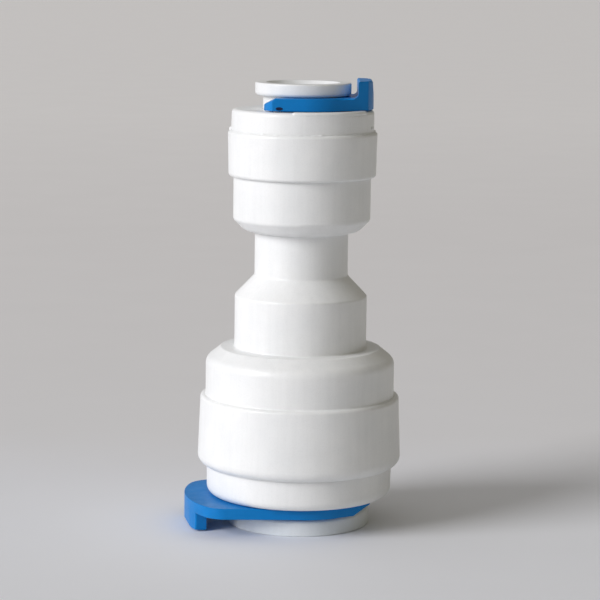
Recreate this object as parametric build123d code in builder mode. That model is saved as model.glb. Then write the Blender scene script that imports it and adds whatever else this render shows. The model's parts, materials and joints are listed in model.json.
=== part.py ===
from build123d import *
import os
from math import acos, atan2, cos, radians, sin, sqrt, tan

# Push-fit reducing coupling for two plastic tubes. Millimetres. The tube axis is Z: the large
# end is at the bottom, with the face of its collet at Z = 0, and the small end is at the top.
# Radii are measured from the axis.

# Tubes, and how the two ends hold them
small_tube_d = 6.35
large_tube_d = 9.525
tube_clearance = 0.15  # on the tube's diameter
seal_squeeze = 0.11  # how far each O-ring reaches into the tube's outside
tooth_bite = 0.1  # how far each tooth reaches into the tube's outside

# Heights of the large end's outside, from the bottom up
large_flange_h = 1.63
large_clip_t = 1.07
large_cap_h = 2.95
large_band_h = 6.95
large_barrel_h = 3.6
large_shoulder_h = 1.15

# Heights of the stepped cone and the waist
middle_h = 5.15
cone_h = 2.0
waist_h = 4.35

# Heights of the small end's outside, from the bottom up
small_chamfer_h = 1.15
small_cup_h = 4.2
small_band_h = 4.45
small_cap_h = 2.1
small_clip_t = 1.2
small_flange_h = 1.27

# Walls and steps of the body, measured outward from the bores inside it
small_rim_wall = 1.27
large_rim_wall = 1.66
small_cup_step = 0.58  # how far the cup stands in from the band
large_barrel_step = 0.77  # how far the barrel stands in from the band
large_shoulder_w = 1.46
small_chamfer_w = 1.15
middle_wall = 1.66
waist_wall = 1.33
small_band_draft = 1.2  # degrees
large_band_draft = 2.2

# Edge roundings of the body
large_band_end_round = 1.0
small_band_end_round = 0.35
band_inner_round = 0.3
small_cup_round = 0.4
small_chamfer_round = 1.1
large_shoulder_round = 1.1
step_round = 0.25
foot_round = 0.15  # where a band or the waist meets the wall beside it

# Flow passage
passage_r = 2.3
large_stop_w = 0.95  # width of the ledge that the large tube ends on
stop_ledge_h = 1.5
small_socket_h = 4.1
large_socket_h = 6.4

# End caps
small_cap_step = 0.32  # how far the cap stands in from the band
large_cap_step = 0.91
small_cap_round = 0.4
large_cap_round = 0.8
cap_draft_w = 0.05
small_spigot_h = 2.5
large_spigot_h = 2.65
small_land_h = 1.5
large_land_h = 1.7
lock_angle = 20.0  # degrees, of the cone that closes the collet's fingers
weld_gap = 0.03
ledge_w = 0.9

# Collets
small_collet_wall = 0.65
large_collet_wall = 1.16
small_flange_rim = 0.78
large_flange_rim = 1.0
flange_round = 0.35  # under the flange
flange_face_round = 0.15
mouth_chamfer = 0.35
collet_stroke = 1.2
collet_play = 0.1  # between the collet and what it runs in
cam_setback = 0.05
tip_h = 0.7
finger_tip_step = 0.6
small_fingers = 4
large_fingers = 6
small_slot_w = 0.9
large_slot_w = 1.1
slot_root_depth = 0.6  # from the cap's face to the end of the slots

# Grip teeth
tooth_t = 0.3
small_tooth_w = 2.2
large_tooth_w = 2.8
small_tooth_l = 1.25
large_tooth_l = 1.7
tooth_angle = 25.0  # degrees
tooth_setback = 0.75  # from the finger's tip to the tooth's edge

# Seals
small_o_ring_t = 1.5
large_o_ring_t = 2.2
small_back_up_t = 1.1
large_back_up_t = 1.3
seal_gap = 0.02
back_up_gap = 0.05
small_cavity_h = 1.6
large_cavity_h = 1.5

# Locking clips
small_clip_lift = 0.1  # between the cap and the clip
large_clip_lift = 0.03
small_clip_play = 0.03  # between the clip and the collet's flange
large_clip_play = 0.22
throat_gap = 0.05  # between the clip's jaws and the collet's neck
small_clip_rim = 1.8  # from the throat to the clip's outer edge
large_clip_rim = 1.7
small_jaw_l = 3.72  # from the axis back to the jaws' tips
large_jaw_l = 5.95
small_jaw_corner_l = 3.0  # from the axis back to where the jaws' outer edges end
large_jaw_corner_l = 5.6
small_jaw_w = 11.5  # over the jaws' outer corners
large_jaw_w = 12.5
small_tip_w = 9.2  # over the jaws' tips
large_tip_w = 12.24
small_ramp_l = 1.1
large_ramp_l = 1.77
small_ramp_h = 0.6
large_ramp_h = 1.0
small_head_l = 1.1  # how far the head stands out from the clip's outer edge
large_head_l = 3.6
small_head_w = 5.6  # over the head's outer corners
large_head_w = 12.3
small_head_round = 0.4
large_head_round = 2.6
small_tab_w = 8.0  # cut off by the head's sides
large_tab_w = 6.6
tab_taper_w = 0.15
small_tab_t = 1.55  # at the tab's middle
large_tab_t = 1.6
small_tab_rise = 0.3  # above the face of the small collet
large_tab_lift = 0.15  # above the surface that the coupling stands on
tab_root_round = 0.4
tab_edge_round = 0.2
small_clip_turn = 0.0  # degrees, where the tabs point
large_clip_turn = 191.0


class End:
    """One end of the coupling. Depths run inward along the axis from the face of its cap."""

    def __init__(self, outward, cap_face_z, **sizes):
        self.outward = outward
        self.cap_face_z = cap_face_z
        self.__dict__.update(sizes)
        slope = tan(radians(lock_angle))
        # from the tube outward
        self.tube_r = self.tube_d / 2
        self.bore_r = self.tube_r + tube_clearance / 2
        self.seal_r = self.tube_r - seal_squeeze
        self.tooth_r = self.tube_r - tooth_bite
        self.neck_r = self.bore_r + self.collet_wall
        self.flange_r = self.neck_r + self.flange_rim
        self.hole_r = self.neck_r + collet_play
        self.chamber_r = self.seal_r + self.o_ring_t + seal_gap
        # from the cap's face outward, then inward
        self.clip_depth = -self.clip_lift
        self.clip_top_depth = self.clip_depth - self.clip_t
        self.flange_depth = self.clip_top_depth - self.clip_play
        self.face_depth = self.flange_depth - self.flange_h
        self.spigot_depth = self.cap_h + self.spigot_h
        self.back_up_depth = self.spigot_depth + self.cavity_h
        self.o_ring_depth = self.back_up_depth + self.back_up_t
        self.floor_depth = self.o_ring_depth + self.o_ring_t
        self.stop_depth = self.floor_depth + self.socket_h
        self.tip_depth = self.back_up_depth - collet_stroke - collet_play
        self.cam_depth = self.tip_depth - tip_h
        # the cone in the cap, and the cams of the fingers that it closes
        cam_start = self.land_h + cam_setback
        self.cam_start = cam_start
        self.cam_r = self.neck_r + slope * (self.cam_depth - cam_start)
        self.lock_r = self.hole_r + slope * (self.spigot_depth - self.land_h)
        # the housing round them
        self.cavity_r = max(self.cam_r + 2 * collet_play, self.chamber_r)
        self.rim_bore_r = max(self.cavity_r, self.lock_r) + ledge_w
        self.band_r = self.rim_bore_r + self.rim_wall
        self.cap_r = self.band_r - self.cap_step
        # the locking clip
        self.throat_r = self.neck_r + throat_gap
        self.clip_r = self.throat_r + self.clip_rim
        self.head_r = self.clip_r + self.head_l

    def z(self, depth):
        return self.cap_face_z - self.outward * depth

    def radial_plane(self, turn):
        """The plane through the axis at this turn: x is the radius and y is the depth."""
        out = Vector(cos(radians(turn)), sin(radians(turn)), 0)
        inward = Vector(0, 0, -self.outward)
        return Plane(origin=(0, 0, self.cap_face_z), x_dir=out, z_dir=out.cross(inward))

    def clip_plane(self):
        """The clip's seat, with x along the clip's tab and z outward."""
        tab = (cos(radians(self.clip_turn)), sin(radians(self.clip_turn)), 0)
        return Plane(origin=(0, 0, self.z(self.clip_depth)), x_dir=tab, z_dir=(0, 0, self.outward))


# Heights of the outside's steps
large_cap_face_z = large_flange_h + large_clip_play + large_clip_t + large_clip_lift
large_rim_z = large_cap_face_z + large_cap_h
barrel_z = large_rim_z + large_band_h
shoulder_z = barrel_z + large_barrel_h
middle_z = shoulder_z + large_shoulder_h
cone_z = middle_z + middle_h
waist_z = cone_z + cone_h
cup_z = waist_z + waist_h
cup_wall_z = cup_z + small_chamfer_h
small_band_z = cup_wall_z + small_cup_h
small_rim_z = small_band_z + small_band_h
small_cap_face_z = small_rim_z + small_cap_h

large = End(
    -1, large_cap_face_z, tube_d=large_tube_d, flange_h=large_flange_h, clip_t=large_clip_t,
    cap_h=large_cap_h, spigot_h=large_spigot_h, land_h=large_land_h, cavity_h=large_cavity_h,
    back_up_t=large_back_up_t, o_ring_t=large_o_ring_t, socket_h=large_socket_h,
    collet_wall=large_collet_wall, flange_rim=large_flange_rim, rim_wall=large_rim_wall,
    cap_step=large_cap_step, cap_round=large_cap_round, fingers=large_fingers,
    slot_w=large_slot_w, tooth_w=large_tooth_w, tooth_l=large_tooth_l,
    clip_rim=large_clip_rim, jaw_l=large_jaw_l, jaw_corner_l=large_jaw_corner_l,
    jaw_w=large_jaw_w, tip_w=large_tip_w, ramp_l=large_ramp_l, ramp_h=large_ramp_h,
    head_l=large_head_l, head_w=large_head_w, head_round=large_head_round,
    clip_lift=large_clip_lift, clip_play=large_clip_play, tab_t=large_tab_t,
    tab_h=large_cap_face_z - large_clip_lift - large_tab_lift, tab_w=large_tab_w,
    clip_turn=large_clip_turn,
)
small = End(
    1, small_cap_face_z, tube_d=small_tube_d, flange_h=small_flange_h, clip_t=small_clip_t,
    cap_h=small_cap_h, spigot_h=small_spigot_h, land_h=small_land_h, cavity_h=small_cavity_h,
    back_up_t=small_back_up_t, o_ring_t=small_o_ring_t, socket_h=small_socket_h,
    collet_wall=small_collet_wall, flange_rim=small_flange_rim, rim_wall=small_rim_wall,
    cap_step=small_cap_step, cap_round=small_cap_round, fingers=small_fingers,
    slot_w=small_slot_w, tooth_w=small_tooth_w, tooth_l=small_tooth_l,
    clip_rim=small_clip_rim, jaw_l=small_jaw_l, jaw_corner_l=small_jaw_corner_l,
    jaw_w=small_jaw_w, tip_w=small_tip_w, ramp_l=small_ramp_l, ramp_h=small_ramp_h,
    head_l=small_head_l, head_w=small_head_w, head_round=small_head_round,
    clip_lift=small_clip_lift, clip_play=small_clip_play, tab_t=small_tab_t,
    tab_h=small_clip_t + small_clip_play + small_flange_h + small_tab_rise, tab_w=small_tab_w,
    clip_turn=small_clip_turn,
)

os.makedirs("parts", exist_ok=True)


def save(piece, name):
    piece.part.label = name
    export_step(piece.part, f"parts/{name}.step")


def round_corner(sketch, x, y, radius):
    """Rounds the corner of a sketch that stands at x, y on the sketch's own plane."""
    corner = sketch.vertices().sort_by_distance((x, y, 0))[0]
    fillet(corner, radius)


def housing():
    """The body: two cups with a band round each rim, and a waist and a cone between them."""
    large_band_top_r = large.band_r - tan(radians(large_band_draft)) * large_band_h
    barrel_r = large.band_r - large_barrel_step
    middle_r = large.bore_r + middle_wall
    waist_r = small.bore_r + waist_wall
    cup_r = small.band_r - small_cup_step
    small_band_low_r = small.band_r - tan(radians(small_band_draft)) * small_band_h
    ledge_r = large.bore_r - large_stop_w
    large_stop_z = large.z(large.stop_depth)
    outside = [
        (large.rim_bore_r, large_rim_z),
        (large.band_r, large_rim_z),
        (large_band_top_r, barrel_z),
        (barrel_r, barrel_z),
        (barrel_r, shoulder_z),
        (barrel_r - large_shoulder_w, middle_z),
        (middle_r, middle_z),
        (middle_r, cone_z),
        (waist_r, waist_z),
        (waist_r, cup_z),
        (cup_r - small_chamfer_w, cup_z),
        (cup_r, cup_wall_z),
        (cup_r, small_band_z),
        (small_band_low_r, small_band_z),
        (small.band_r, small_rim_z),
        (small.rim_bore_r, small_rim_z),
    ]
    inside = [
        (small.rim_bore_r, small.z(small.spigot_depth)),
        (small.cavity_r, small.z(small.spigot_depth)),
        (small.cavity_r, small.z(small.back_up_depth)),
        (small.chamber_r, small.z(small.back_up_depth)),
        (small.chamber_r, small.z(small.floor_depth)),
        (small.bore_r, small.z(small.floor_depth)),
        (small.bore_r, small.z(small.stop_depth)),
        (passage_r, small.z(small.stop_depth)),
        (passage_r, waist_z),
        (ledge_r, large_stop_z + stop_ledge_h),
        (ledge_r, large_stop_z),
        (large.bore_r, large_stop_z),
        (large.bore_r, large.z(large.floor_depth)),
        (large.chamber_r, large.z(large.floor_depth)),
        (large.chamber_r, large.z(large.back_up_depth)),
        (large.cavity_r, large.z(large.back_up_depth)),
        (large.cavity_r, large.z(large.spigot_depth)),
        (large.rim_bore_r, large.z(large.spigot_depth)),
    ]
    with BuildPart() as coupling_body:
        with BuildSketch(Plane.XZ) as section:
            with BuildLine():
                Polyline(*outside, *inside, close=True)
            make_face()
            round_corner(section, large.band_r, large_rim_z, large_band_end_round)
            round_corner(section, large_band_top_r, barrel_z, band_inner_round)
            round_corner(section, barrel_r, barrel_z, foot_round)
            round_corner(section, barrel_r, shoulder_z, large_shoulder_round)
            round_corner(section, barrel_r - large_shoulder_w, middle_z, step_round)
            round_corner(section, middle_r, middle_z, foot_round)
            round_corner(section, middle_r, cone_z, step_round)
            round_corner(section, waist_r, waist_z, step_round)
            round_corner(section, waist_r, cup_z, step_round)
            round_corner(section, cup_r - small_chamfer_w, cup_z, small_chamfer_round)
            round_corner(section, cup_r, cup_wall_z, small_cup_round)
            round_corner(section, small_band_low_r, small_band_z, band_inner_round)
            round_corner(section, small.band_r, small_rim_z, small_band_end_round)
        revolve(axis=Axis.Z)
    save(coupling_body, "coupling_body")


def end_cap(end, name):
    """The ring welded into the rim, whose cone closes the collet's fingers on the tube."""
    face_r = end.cap_r - cap_draft_w
    spigot_r = end.rim_bore_r - weld_gap
    with BuildPart() as cap:
        with BuildSketch(Plane.XZ) as section:
            with BuildLine():
                Polyline(
                    (end.hole_r, end.z(0)),
                    (face_r, end.z(0)),
                    (end.cap_r, end.z(end.cap_h)),
                    (spigot_r, end.z(end.cap_h)),
                    (spigot_r, end.z(end.spigot_depth)),
                    (end.lock_r, end.z(end.spigot_depth)),
                    (end.hole_r, end.z(end.land_h)),
                    close=True,
                )
            make_face()
            round_corner(section, face_r, end.z(0), end.cap_round)
        revolve(axis=Axis.Z)
    save(cap, name)


def tooth_blade(end, turn):
    """The side view of one tooth, which leans inward so that a tube slides in but not out."""
    edge_depth = end.tip_depth - tooth_setback
    rise = end.tooth_l * tan(radians(tooth_angle))
    root_r = end.tooth_r + end.tooth_l
    with BuildSketch(end.radial_plane(turn)) as blade:
        with BuildLine():
            Polyline(
                (end.tooth_r - tooth_t, edge_depth),
                (root_r, edge_depth - rise),
                (root_r, edge_depth - rise - tooth_t),
                (end.tooth_r - tooth_t, edge_depth - tooth_t),
                close=True,
            )
        make_face()
    return blade.sketch


def grip_teeth(end, name):
    for finger in range(end.fingers):
        with BuildPart() as tooth:
            extrude(tooth_blade(end, finger * 360 / end.fingers), amount=end.tooth_w / 2, both=True)
            with BuildSketch(Plane.XY.offset(end.z(end.tip_depth))):
                Circle(end.tooth_r)
            extrude(amount=end.tip_depth, both=True, mode=Mode.SUBTRACT)
        save(tooth, f"{name}_{finger + 1}")


def collet(end, name):
    """The release sleeve: a flange to press, a neck, and sprung fingers that hold the teeth."""
    turn = 360 / end.fingers
    with BuildPart() as sleeve:
        with BuildSketch(Plane.XZ) as section:
            with BuildLine():
                Polyline(
                    (end.bore_r + mouth_chamfer, end.z(end.face_depth)),
                    (end.flange_r, end.z(end.face_depth)),
                    (end.flange_r, end.z(end.flange_depth)),
                    (end.neck_r, end.z(end.flange_depth)),
                    (end.neck_r, end.z(end.cam_start)),
                    (end.cam_r, end.z(end.cam_depth)),
                    (end.cam_r - finger_tip_step, end.z(end.tip_depth)),
                    (end.bore_r, end.z(end.tip_depth)),
                    (end.bore_r, end.z(end.face_depth + mouth_chamfer)),
                    close=True,
                )
            make_face()
            round_corner(section, end.flange_r, end.z(end.flange_depth), flange_round)
            round_corner(section, end.flange_r, end.z(end.face_depth), flange_face_round)
        revolve(axis=Axis.Z)
        slot_l = end.tip_depth - slot_root_depth
        for finger in range(end.fingers):
            slot_turn = (finger + 0.5) * turn
            out = (cos(radians(slot_turn)), sin(radians(slot_turn)), 0)
            side = Plane(origin=(0, 0, end.z(slot_root_depth)), x_dir=(0, 0, -end.outward), z_dir=out)
            with BuildSketch(side):
                Rectangle(2 * slot_l, end.slot_w, align=(Align.MIN, Align.CENTER))
            extrude(amount=end.cam_r + finger_tip_step, mode=Mode.SUBTRACT)
        for finger in range(end.fingers):
            blade = tooth_blade(end, finger * turn)
            extrude(blade, amount=end.tooth_w / 2, both=True, mode=Mode.SUBTRACT)
    save(sleeve, name)


def o_ring(end, name):
    section_r = end.o_ring_t / 2
    middle_depth = end.o_ring_depth + section_r
    with BuildPart() as ring:
        with BuildSketch(Plane.XZ):
            with Locations((end.seal_r + section_r, end.z(middle_depth))):
                Circle(section_r)
        revolve(axis=Axis.Z)
    save(ring, name)


def back_up_ring(end, name):
    """The plain ring that keeps the fingers off the O-ring."""
    outer_r = end.chamber_r - back_up_gap
    with BuildPart() as ring:
        with BuildSketch(Plane.XY.offset(end.z(end.back_up_depth))):
            Circle(outer_r)
            Circle(end.bore_r + back_up_gap, mode=Mode.SUBTRACT)
        extrude(amount=-end.outward * end.back_up_t)
    save(ring, name)


def tangent_point(radius, corner, side):
    """Where the line from a corner touches the circle of this radius round the axis."""
    x, y = corner
    turn = atan2(y, x) + side * acos(radius / sqrt(x**2 + y**2))
    return radius * cos(turn), radius * sin(turn)


def locking_clip(end, name):
    """The C-shaped clip between the cap and the collet's flange, with a tab to pull it off."""
    seat = end.clip_plane()
    corner_x = sqrt(end.head_r**2 - (end.head_w / 2) ** 2)
    head_corner = (corner_x, end.head_w / 2)
    jaw_corner = (-end.jaw_corner_l, end.jaw_w / 2)
    outline = [
        (end.head_r, end.head_w / 2),
        head_corner,
        tangent_point(end.clip_r, head_corner, 1),
        tangent_point(end.clip_r, jaw_corner, -1),
        jaw_corner,
        (-end.jaw_l, end.tip_w / 2),
    ]
    tab_inner_x = end.head_r - end.tab_t
    with BuildPart() as clip:
        with BuildSketch(seat) as plan:
            with BuildLine():
                Polyline(*outline, *[(x, -y) for x, y in reversed(outline)], close=True)
            make_face()
            Circle(end.head_r, mode=Mode.INTERSECT)
            for side in (-1, 1):
                round_corner(plan, corner_x, side * end.head_w / 2, end.head_round)
            Circle(end.clip_r)
            Circle(end.throat_r, mode=Mode.SUBTRACT)
            Rectangle(
                2 * end.clip_r, 2 * end.throat_r, align=(Align.MAX, Align.CENTER), mode=Mode.SUBTRACT
            )
            with Locations((-end.jaw_l, 0)):
                Rectangle(
                    end.clip_r, 2 * end.clip_r, align=(Align.MAX, Align.CENTER), mode=Mode.SUBTRACT
                )
        extrude(amount=end.clip_t)
        tab_dir = seat.x_dir
        side_view = Plane(origin=seat.origin, x_dir=tab_dir, z_dir=tab_dir.cross(seat.z_dir))
        with BuildSketch(side_view) as tab:
            with BuildLine():
                Polyline(
                    (tab_inner_x - tab_root_round, 0),
                    (end.head_r, 0),
                    (end.head_r, end.clip_t),
                    (end.head_r - tab_taper_w, end.tab_h),
                    (tab_inner_x, end.tab_h),
                    (tab_inner_x, end.clip_t),
                    (tab_inner_x - 2 * tab_root_round, end.clip_t),
                    close=True,
                )
            make_face()
            round_corner(tab, tab_inner_x, end.clip_t, tab_root_round)
            round_corner(tab, tab_inner_x, end.tab_h, tab_edge_round)
            round_corner(tab, end.head_r - tab_taper_w, end.tab_h, tab_edge_round)
        extrude(amount=end.tab_w / 2, both=True)
        extrude(plan.sketch, amount=end.tab_h, mode=Mode.INTERSECT)
        with BuildSketch(side_view):
            with BuildLine():
                Polyline(
                    (-end.jaw_l, end.clip_t - end.ramp_h),
                    (-end.jaw_l + end.ramp_l, end.clip_t),
                    (-end.jaw_l, end.clip_t),
                    close=True,
                )
            make_face()
        extrude(amount=end.clip_r, both=True, mode=Mode.SUBTRACT)
    save(clip, name)


housing()
for end, size in ((small, "small"), (large, "large")):
    end_cap(end, f"{size}_end_cap")
    collet(end, f"{size}_collet")
    grip_teeth(end, f"{size}_grip_tooth")
    o_ring(end, f"{size}_o_ring")
    back_up_ring(end, f"{size}_back_up_ring")
    locking_clip(end, f"{size}_locking_clip")
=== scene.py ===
import json
from math import cos, pi, radians, sin

import bmesh
import bpy
from mathutils import Matrix, Vector


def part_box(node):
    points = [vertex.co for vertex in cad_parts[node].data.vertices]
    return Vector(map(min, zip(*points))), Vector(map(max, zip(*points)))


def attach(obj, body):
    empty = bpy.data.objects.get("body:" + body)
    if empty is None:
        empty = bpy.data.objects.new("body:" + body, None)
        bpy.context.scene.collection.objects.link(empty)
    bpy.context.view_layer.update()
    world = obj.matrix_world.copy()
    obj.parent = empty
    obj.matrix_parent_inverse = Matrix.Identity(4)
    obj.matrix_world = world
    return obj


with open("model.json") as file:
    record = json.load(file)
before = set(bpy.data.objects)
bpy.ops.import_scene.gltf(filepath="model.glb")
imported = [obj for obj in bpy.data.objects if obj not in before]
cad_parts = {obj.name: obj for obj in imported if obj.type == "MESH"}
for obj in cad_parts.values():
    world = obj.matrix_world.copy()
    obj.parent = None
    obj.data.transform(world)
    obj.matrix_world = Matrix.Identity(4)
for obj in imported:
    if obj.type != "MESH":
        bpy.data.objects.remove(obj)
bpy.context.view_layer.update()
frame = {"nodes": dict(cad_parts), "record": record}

# All lengths are in metres.


# ---------------------------------------------------------------- shader helpers
noise_low, noise_high = 0.3, 0.7  # nearly all of a noise texture lies between these

# A Mix node's sockets have the same names for every type of data, so those for colours go by number
mix_first, mix_second, mix_result = 6, 7, 2


def grey(level):
    """A colour with the same level in all three channels."""
    return (level, level, level)


def new_material(name):
    """An empty node material with a Principled shader on its output."""
    material = bpy.data.materials.new(name)
    material.use_nodes = True
    tree = material.node_tree
    tree.nodes.clear()
    out = tree.nodes.new("ShaderNodeOutputMaterial")
    shader = tree.nodes.new("ShaderNodeBsdfPrincipled")
    tree.links.new(shader.outputs["BSDF"], out.inputs["Surface"])
    return material, tree, shader


def noise(tree, scale, detail=2.0, roughness=0.5, stretch=(1, 1, 1)):
    """A noise texture in object space, scale in features per metre."""
    coords = tree.nodes.new("ShaderNodeTexCoord")
    mapping = tree.nodes.new("ShaderNodeMapping")
    mapping.inputs["Scale"].default_value = stretch
    texture = tree.nodes.new("ShaderNodeTexNoise")
    texture.inputs["Scale"].default_value = scale
    texture.inputs["Detail"].default_value = detail
    texture.inputs["Roughness"].default_value = roughness
    tree.links.new(coords.outputs["Object"], mapping.inputs["Vector"])
    tree.links.new(mapping.outputs["Vector"], texture.inputs["Vector"])
    return texture.outputs["Fac"]


def ramp(tree, value, stops):
    """A colour ramp over value; stops are (position, colour)."""
    node = tree.nodes.new("ShaderNodeValToRGB")
    node.color_ramp.elements[0].position = stops[0][0]
    node.color_ramp.elements[0].color = (*stops[0][1], 1)
    node.color_ramp.elements[1].position = stops[-1][0]
    node.color_ramp.elements[1].color = (*stops[-1][1], 1)
    for position, colour in stops[1:-1]:
        node.color_ramp.elements.new(position).color = (*colour, 1)
    tree.links.new(value, node.inputs["Fac"])
    return node.outputs["Color"]


def shades(tree, value, dark, light):
    """Maps a noise value onto the colours from dark to light."""
    return ramp(tree, value, [(noise_low, dark), (noise_high, light)])


def spread(tree, value, low, high):
    """Maps a noise value onto low..high."""
    node = tree.nodes.new("ShaderNodeMapRange")
    node.inputs["From Min"].default_value = noise_low
    node.inputs["From Max"].default_value = noise_high
    node.inputs["To Min"].default_value = low
    node.inputs["To Max"].default_value = high
    tree.links.new(value, node.inputs["Value"])
    return node.outputs["Result"]


def bump(tree, shader, height, distance, strength=1.0, below=None):
    """Makes the surface uneven by height, over the unevenness below it."""
    node = tree.nodes.new("ShaderNodeBump")
    node.inputs["Strength"].default_value = strength
    node.inputs["Distance"].default_value = distance
    tree.links.new(height, node.inputs["Height"])
    if below is not None:
        tree.links.new(below, node.inputs["Normal"])
    tree.links.new(node.outputs["Normal"], shader.inputs["Normal"])
    return node.outputs["Normal"]


def multiplied(tree, *colours):
    """The product of two or more colours."""
    product = colours[0]
    for colour in colours[1:]:
        node = tree.nodes.new("ShaderNodeMix")
        node.data_type = "RGBA"
        node.blend_type = "MULTIPLY"
        node.inputs["Factor"].default_value = 1.0
        tree.links.new(product, node.inputs[mix_first])
        tree.links.new(colour, node.inputs[mix_second])
        product = node.outputs[mix_result]
    return product


# ---------------------------------------------------------------- materials
flow_stretch = (1, 1, 0.06)  # flow lines run along the axis
glossier, rougher = 0.05, 0.06  # how far the patches depart from a plastic's roughness
scatter_reach, scatter_depth = (1.0, 0.95, 0.9), 0.0012


def moulded_plastic(name, dark, light, rough, gloss=0.5, scatter=0.0, grain=0.000006):
    """Moulded plastic: cloudy colour with faint flow lines along the axis, uneven gloss,
    a slightly wavy surface and a fine spark-eroded texture of the height grain."""
    material, tree, shader = new_material(name)
    clouds = shades(tree, noise(tree, scale=260, detail=3.0, roughness=0.55), dark, light)
    streaks = noise(tree, scale=1500, detail=3.0, roughness=0.6, stretch=flow_stretch)
    flow_lines = ramp(tree, streaks, [(0.35, grey(0.975)), (0.6, grey(1.0))])
    dust = noise(tree, scale=7000, detail=2.0, roughness=0.7)
    specks = ramp(tree, dust, [(0.3, grey(0.965)), (0.5, grey(1.0))])
    tree.links.new(multiplied(tree, clouds, flow_lines, specks), shader.inputs["Base Color"])
    patches = noise(tree, scale=900, detail=4.0, roughness=0.6)
    tree.links.new(spread(tree, patches, rough - glossier, rough + rougher), shader.inputs["Roughness"])
    waves = bump(tree, shader, noise(tree, scale=420, detail=1.0), distance=0.00003, strength=0.5)
    erosion = noise(tree, scale=9000, detail=2.0, roughness=0.6)
    bump(tree, shader, erosion, distance=grain, strength=0.7, below=waves)
    shader.inputs["Specular IOR Level"].default_value = gloss
    if scatter:
        shader.inputs["Subsurface Weight"].default_value = scatter
        shader.inputs["Subsurface Radius"].default_value = scatter_reach
        shader.inputs["Subsurface Scale"].default_value = scatter_depth
    return material


def rubber_material():
    """Matt black rubber."""
    material, tree, shader = new_material("seal_rubber")
    grain = noise(tree, scale=2500, detail=3.0)
    blacks = shades(tree, grain, (0.012, 0.012, 0.013), (0.026, 0.026, 0.027))
    tree.links.new(blacks, shader.inputs["Base Color"])
    tree.links.new(spread(tree, grain, 0.5, 0.68), shader.inputs["Roughness"])
    bump(tree, shader, noise(tree, scale=12000, detail=2.0), distance=0.000005, strength=0.5)
    return material


def steel_material():
    """Stainless steel with the marks of the rolling across the axis."""
    material, tree, shader = new_material("tooth_steel")
    grain = noise(tree, scale=3000, detail=3.0, roughness=0.5, stretch=(1, 1, 12))
    tree.links.new(shades(tree, grain, (0.48, 0.47, 0.46), (0.62, 0.61, 0.60)), shader.inputs["Base Color"])
    tree.links.new(spread(tree, grain, 0.22, 0.36), shader.inputs["Roughness"])
    shader.inputs["Metallic"].default_value = 1.0
    bump(tree, shader, grain, distance=0.000003, strength=0.5)
    return material


white = moulded_plastic("body_plastic", (0.80, 0.81, 0.815), (0.85, 0.855, 0.855), rough=0.38, scatter=0.12)
sleeve = moulded_plastic("collet_plastic", (0.79, 0.80, 0.81), (0.84, 0.85, 0.855), rough=0.34, scatter=0.12)
large_sleeve = moulded_plastic(
    "large_collet_plastic", (0.69, 0.73, 0.76), (0.74, 0.775, 0.80), rough=0.36, scatter=0.12
)
blue = moulded_plastic(
    "clip_plastic", (0.0, 0.175, 0.505), (0.004, 0.205, 0.57), rough=0.38, gloss=0.2, grain=0.000012
)
slot_materials = {
    "body_plastic": white,
    "collet_plastic": sleeve,
    "clip_plastic": blue,
    "seal_rubber": rubber_material(),
    "tooth_steel": steel_material(),
}
for part in frame["record"]["subparts"]:
    node = frame["nodes"][part["node"]]
    node.data.materials.clear()
    node.data.materials.append(slot_materials[part["material_slot"]])
frame["nodes"]["large_collet"].data.materials[0] = large_sleeve  # greyer than the small one


# ---------------------------------------------------------------- soft moulded edges
clip_edge_round = 0.00014


def soften(node, radius):
    """Rounds the sharp edges of a moulding, once its flat faces are whole again."""
    weld = node.modifiers.new("weld", "WELD")
    weld.merge_threshold = 0.000002
    flats = node.modifiers.new("flats", "DECIMATE")
    flats.decimate_type = "DISSOLVE"
    flats.angle_limit = radians(0.5)
    edge = node.modifiers.new("edge", "BEVEL")
    edge.width = radius
    edge.segments = 3
    edge.limit_method = "ANGLE"
    edge.angle_limit = radians(35)
    edge.offset_type = "ABSOLUTE"
    edge.use_clamp_overlap = False
    node.modifiers.new("shading", "WEIGHTED_NORMAL")


for clip in ("small_locking_clip", "large_locking_clip"):
    soften(frame["nodes"][clip], clip_edge_round)


# ---------------------------------------------------------------- mesh helpers
turn_slack = 0.001  # a sweep this close to a full turn, in radians, is a closed ring
lump_waves = [(0.16, 3, 1), (0.12, 5, 2), (0.1, 4, -1)]  # swelling, waves and shift along X, Y and Z


def add_piece(name, mesh, material, body):
    """Adds a smooth piece that rides on a body of the frame."""
    for face in mesh.polygons:
        face.use_smooth = True
    mesh.materials.append(material)
    piece = bpy.data.objects.new(name, mesh)
    bpy.context.scene.collection.objects.link(piece)
    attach(piece, body)


def new_mesh(name, points, faces):
    """A mesh from its points and faces."""
    mesh = bpy.data.meshes.new(name)
    mesh.from_pydata(points, [], faces)
    mesh.update()
    return mesh


def swept_ring(name, section, start, end, steps):
    """A mesh swept round the axis from the angle start to end. At the share t of the way, its
    outline is section(t), a list of (radius, height). A full turn closes on itself."""
    closed = end - start > 2 * pi - turn_slack
    stations = steps if closed else steps + 1
    points, faces = [], []
    for step in range(stations):
        t = step / steps
        turn = start + (end - start) * t
        outline = section(t)
        points += [(r * cos(turn), r * sin(turn), z) for r, z in outline]
    count = len(outline)
    for step in range(steps):
        here, there = step * count, (step + 1) % stations * count
        for k in range(count):
            after = (k + 1) % count
            faces.append((here + k, there + k, there + after, here + after))
    if not closed:
        faces.append(tuple(range(count)))
        faces.append(tuple(reversed(range(steps * count, stations * count))))
    return new_mesh(name, points, faces)


def stacked_rings(name, rings):
    """A closed mesh through rings of equally many points, capped at the first and the last."""
    count, last = len(rings[0]), len(rings) - 1
    faces = [tuple(range(count)), tuple(reversed(range(last * count, (last + 1) * count)))]
    for ring in range(last):
        for k in range(count):
            here, after = ring * count + k, ring * count + (k + 1) % count
            faces.append((here, here + count, after + count, after))
    return new_mesh(name, [point for ring in rings for point in ring], faces)


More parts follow.
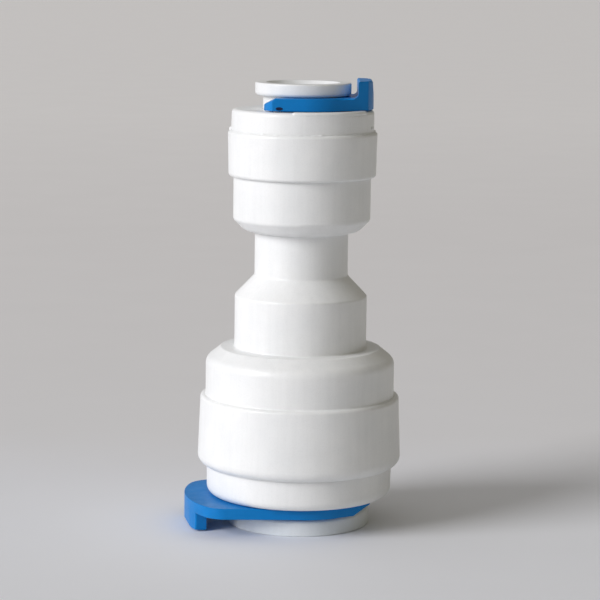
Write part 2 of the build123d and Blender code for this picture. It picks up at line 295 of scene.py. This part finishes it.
def lump_mesh(name, centre, sizes, seed):
    """An uneven little lump of plastic; sizes are its half lengths."""
    lump = bmesh.new()
    bmesh.ops.create_icosphere(lump, subdivisions=3, radius=1.0)
    for vert in lump.verts:
        way = vert.co.normalized()
        swell = 1.0
        for k, (share, waves, shift) in enumerate(lump_waves):
            swell += share * sin(waves * way[k] + shift * seed)
        vert.co = Vector(centre) + Vector([way[k] * sizes[k] * swell for k in range(3)])
    mesh = bpy.data.meshes.new(name)
    lump.to_mesh(mesh)
    lump.free()
    return mesh


# ---------------------------------------------------------------- lip along the small cap's edge
cap_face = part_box("small_end_cap")[1][2]
cap_edge_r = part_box("small_end_cap")[1][0]
lip_profile = [  # outward and upward from the cap's edge
    (-0.0005, -0.0004), (-0.00007, -0.0004), (-0.00006, -0.0001), (-0.00013, 0.00004),
    (-0.00022, 0.00009), (-0.00055, 0.00009), (-0.00068, 0.00005), (-0.00075, -0.00008),
]
lip_middle_r, lip_middle_z = -0.0004, -0.00025
lip_end_share = 0.05  # of its length, in which each end rounds off
lip_end_start = 0.02  # how full an end starts, so that its face keeps some width


def lip_section(t):
    """The lip's outline, drawn in towards its middle at both rounded ends."""
    rise = min(1.0, min(t, 1 - t) / lip_end_share + lip_end_start)
    full = sin(pi * rise / 2) ** 0.5
    return [(
        cap_edge_r + lip_middle_r + (r - lip_middle_r) * full,
        cap_face + lip_middle_z + (z - lip_middle_z) * full,
    ) for r, z in lip_profile]


lip = swept_ring("cap_edge_lip", lip_section, radians(-100), radians(-25), steps=72)
add_piece("cap_edge_lip", lip, white, "housing")


# ---------------------------------------------------------------- weld between the small cap and the band
seam_stand = 0.00002  # out from the cap's edge
seam_r, seam_z = cap_edge_r + seam_stand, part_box("coupling_body")[1][2]
flash_thin, flash_swell = 0.00004, 0.0001  # half its thickness where it is thin, and what a full lump adds
flash_mean = 0.5
flash_waves = [(0.22, 9, 1.3), (0.16, 23, 0.4), (0.12, 61, 0.0)]  # share, waves in a turn and shift
flash_corners = 8
weld_nubs = [  # degrees round the axis, height over the seam, half width
    (184, 0.00014, 0.0002), (-17, 0.00045, 0.00016),
]
nub_height_share = 0.8  # of its width
nub_seed = 1.7


def flash_section(t):
    """The bead of plastic that the weld pressed out between the cap and the band."""
    turn = 2 * pi * t
    lumps = flash_mean
    for share, waves, shift in flash_waves:
        lumps += share * sin(waves * turn + shift)
    size = flash_thin + flash_swell * max(0.0, lumps) ** 3
    corners = [k * 2 * pi / flash_corners for k in range(flash_corners)]
    return [(seam_r + size * cos(a), seam_z + size * sin(a)) for a in corners]


flash = swept_ring("weld_flash", flash_section, 0.0, 2 * pi, steps=360)
add_piece("weld_flash", flash, white, "housing")

for number, (turn, height, size) in enumerate(weld_nubs):
    place = (seam_r * cos(radians(turn)), seam_r * sin(radians(turn)), seam_z + height)
    half_sizes = (size, size, nub_height_share * size)
    nub = lump_mesh(f"weld_nub_{number + 1}", place, half_sizes, nub_seed + number)
    add_piece(f"weld_nub_{number + 1}", nub, white, "housing")


# ---------------------------------------------------------------- gate scar on the small clip's front jaw, darkened with painted shade
clip_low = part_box("small_locking_clip")[0]
scar_x_share = 0.61  # of the way from the axis to the jaws' tips
scar_lift = 0.00025  # over the clip's lower face
scar_x, scar_z = clip_low.x * scar_x_share, clip_low.z + scar_lift
scar_half_w, scar_half_h, scar_rise = 0.00036, 0.00016, 0.00003
scar_unevenness = 0.25  # of its rise
scar_steps = 24
scar_profile = [(0.25, 0.3), (0.6, 0.35), (0.8, 1.0), (0.92, 0.9), (1.0, -0.5)]  # shares of its size and rise


def scar_ring(reach, rise):
    """The points of the scar at the share reach of its size, standing out by the share rise."""
    points = []
    for k in range(scar_steps):
        turn = 2 * pi * k / scar_steps
        uneven = 1 + scar_unevenness * sin(3 * k)
        points.append((
            scar_x + reach * scar_half_w * cos(turn),
            clip_low.y - rise * scar_rise * uneven,
            scar_z + reach * scar_half_h * sin(turn),
        ))
    return points


scar = stacked_rings("gate_scar", [scar_ring(reach, rise) for reach, rise in scar_profile])
# Near-black blue all over: painted shade of a small hollow at the jaw's lower edge, although the piece stands
# out from the jaw
scar_shade_paint = moulded_plastic(
    "scar_shade_paint", (0.004, 0.01, 0.04), (0.01, 0.022, 0.08), rough=0.42, gloss=0.2
)
add_piece("gate_scar", scar, scar_shade_paint, "small_clip")


# ---------------------------------------------------------------- floor
floor_half = 40.0
floor_far, floor_side = 0.6, 0.04  # where its painted light stops changing, behind and beside the part
# Painted light over the floor: lighter and bluer in front of the part, darker and warmer behind it, lighter
# again far back
painted_floor_light_stops = [
    (0.0, (0.825, 0.835, 0.875)), (0.03, (0.815, 0.82, 0.86)), (0.07, (0.79, 0.785, 0.805)),
    (0.16, (0.79, 0.78, 0.795)), (0.4, (0.795, 0.78, 0.79)), (0.95, (0.85, 0.835, 0.84)),
]
floor_material, floor_tree, floor_shader = new_material("paper")
floor_coords = floor_tree.nodes.new("ShaderNodeTexCoord")
floor_axes = floor_tree.nodes.new("ShaderNodeSeparateXYZ")
floor_tree.links.new(floor_coords.outputs["Object"], floor_axes.inputs["Vector"])


def along_floor(axis, start, end, stops):
    """A colour ramp over the floor's X or Y between two places."""
    place = floor_tree.nodes.new("ShaderNodeMapRange")
    place.inputs["From Min"].default_value = start
    place.inputs["From Max"].default_value = end
    floor_tree.links.new(floor_axes.outputs[axis], place.inputs["Value"])
    return ramp(floor_tree, place.outputs["Result"], stops)


painted_light_back = along_floor("Y", 0.0, floor_far, painted_floor_light_stops)
# Painted shade: the floor a little darker towards the right, away from the key
painted_shade_right = along_floor("X", -floor_side, floor_side, [(0.0, grey(1.0)), (1.0, grey(0.985))])
fibres = shades(floor_tree, noise(floor_tree, scale=60, detail=4.0), grey(0.985), grey(1.0))
floor_tree.links.new(multiplied(floor_tree, painted_light_back, painted_shade_right, fibres), floor_shader.inputs["Base Color"])
floor_shader.inputs["Roughness"].default_value = 0.65
floor_corners = [(x * floor_half, y * floor_half, 0) for x, y in ((-1, -1), (1, -1), (1, 1), (-1, 1))]
floor = bpy.data.objects.new("floor", new_mesh("floor", floor_corners, [(0, 1, 2, 3)]))
bpy.context.scene.collection.objects.link(floor)
floor.data.materials.append(floor_material)


# ---------------------------------------------------------------- light
key_azimuth, key_height = radians(60), radians(25)  # from the front (-Y) to the left, and over the floor
key_data = bpy.data.lights.new("key", "SUN")
key_data.energy = 2.52
key_data.angle = radians(32)
key_data.color = (0.985, 0.98, 0.995)
key = bpy.data.objects.new("key", key_data)
toward = Vector((-sin(key_azimuth) * cos(key_height), -cos(key_azimuth) * cos(key_height), sin(key_height)))
key.rotation_euler = toward.to_track_quat("Z", "Y").to_euler()
bpy.context.scene.collection.objects.link(key)

# The room lights the part from the left (-X) more than from the right; the camera sees one plain colour
room_light = [
    (0.0, (0.575, 0.57, 0.575)), (0.5, (0.335, 0.327, 0.312)),
    (0.72, (0.215, 0.203, 0.175)), (1.0, (0.15, 0.132, 0.06)),
]
world = bpy.data.worlds.new("room")
world.use_nodes = True
room = world.node_tree
room.nodes.clear()
room_out = room.nodes.new("ShaderNodeOutputWorld")
seen = room.nodes.new("ShaderNodeBackground")
seen.inputs["Color"].default_value = (0.53, 0.52, 0.515, 1)
lit = room.nodes.new("ShaderNodeBackground")
lit.inputs["Strength"].default_value = 1.0
coords = room.nodes.new("ShaderNodeTexCoord")
split = room.nodes.new("ShaderNodeSeparateXYZ")
room.links.new(coords.outputs["Generated"], split.inputs["Vector"])
across = room.nodes.new("ShaderNodeMapRange")
across.inputs["From Min"].default_value = -1.0
across.inputs["From Max"].default_value = 1.0
room.links.new(split.outputs["X"], across.inputs["Value"])
room.links.new(ramp(room, across.outputs["Result"], room_light), lit.inputs["Color"])
path = room.nodes.new("ShaderNodeLightPath")
choose = room.nodes.new("ShaderNodeMixShader")
room.links.new(path.outputs["Is Camera Ray"], choose.inputs["Fac"])
room.links.new(lit.outputs["Background"], choose.inputs[1])
room.links.new(seen.outputs["Background"], choose.inputs[2])
room.links.new(choose.outputs["Shader"], room_out.inputs["Surface"])
bpy.context.scene.world = world


# ---------------------------------------------------------------- camera
pitch, roll = radians(8.51), radians(0.71)  # it looks down, and is held a little askew
camera_data = bpy.data.cameras.new("camera")
camera_data.lens = 138.66
camera_data.sensor_width = 36.0
camera_data.clip_start = 0.01
camera = bpy.data.objects.new("camera", camera_data)
camera.matrix_world = (
    Matrix.Translation((-0.00007, -0.2251, 0.05588))
    @ Matrix.Rotation(pi / 2 - pitch, 4, "X")
    @ Matrix.Rotation(roll, 4, "Z")
)
bpy.context.scene.collection.objects.link(camera)
bpy.context.scene.camera = camera
bpy.context.scene.view_settings.view_transform = "Standard"

bpy.context.view_layer.update()
